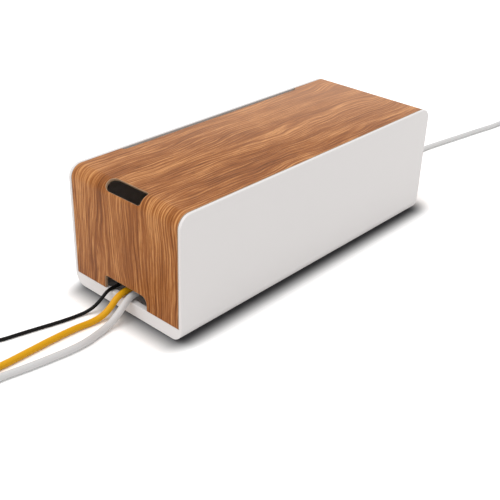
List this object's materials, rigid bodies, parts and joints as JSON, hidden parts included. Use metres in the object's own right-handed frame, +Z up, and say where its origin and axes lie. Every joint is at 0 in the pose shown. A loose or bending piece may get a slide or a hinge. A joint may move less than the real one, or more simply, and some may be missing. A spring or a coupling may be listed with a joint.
{
  "type": "cable management box",
  "caption": "Lidded box for cables: white tray, wood-look lift-off lid with a slot and cord notches, power strip inside, cords out of both ends.",
  "frame": {"origin": "centre of the box's footprint on the surface that it stands on", "axes": "+Z up, X along the box's length with the end that the three cords leave towards -X, +Y towards the side wall with the finger recess"},
  "size_m": [1.1711, 0.231, 0.13],
  "materials": {
    "white_plastic": "satin moulded",
    "wood_veneer": "satin wood-grain film",
    "rubber": "matt",
    "dark_plastic": "fine texture",
    "red_plastic": "polished",
    "brass": "plain strip",
    "steel": "nickel plated",
    "board_green": "lacquered",
    "white_cable": "smooth flexible",
    "yellow_cable": "smooth flexible",
    "black_cable": "smooth flexible"
  },
  "bodies": {
    "tray": {"tray": "white_plastic", "foot_front_left": "rubber", "foot_front_right": "rubber", "foot_rear_left": "rubber", "foot_rear_right": "rubber", "strip_base": "dark_plastic", "strip_cover": "dark_plastic", "strip_screws": "steel", "socket_insert_1": "dark_plastic", "socket_insert_2": "dark_plastic", "socket_insert_3": "dark_plastic", "socket_insert_4": "dark_plastic", "live_bus_bar": "brass", "neutral_bus_bar": "brass", "earth_bus_bar": "brass", "switch_housing": "dark_plastic", "usb_socket": "steel", "usb_board": "board_green", "strip_cord_grip": "black_cable", "mains_lead": "white_cable", "mains_coil": "white_cable", "mains_plug": "white_plastic", "mains_plug_pins": "steel", "white_plug": "white_plastic", "white_plug_pins": "steel", "white_cord": "white_cable", "white_coil": "white_cable", "white_connector": "white_plastic", "yellow_plug": "yellow_cable", "yellow_plug_pins": "steel", "yellow_cord": "yellow_cable", "yellow_coil": "yellow_cable", "yellow_connector": "yellow_cable", "usb_plug": "black_cable", "usb_plug_shell": "steel", "black_cord": "black_cable", "black_coil": "black_cable", "black_connector": "black_cable", "black_connector_tip": "steel"},
    "lid": {"lid": "wood_veneer"},
    "rocker": {"switch_rocker": "red_plastic"}
  },
  "joints": [
    {"name": "lid_lift", "type": "slide", "parent": "tray", "child": "lid", "axis": [0, 0, 1], "range_m": [0, 0.13]},
    {"name": "rocker_tilt", "type": "hinge", "parent": "tray", "child": "rocker", "pos_m": [0.119, 0, 0.0425], "axis": [0, 1, 0], "range_deg": [0, 18]}
  ]
}
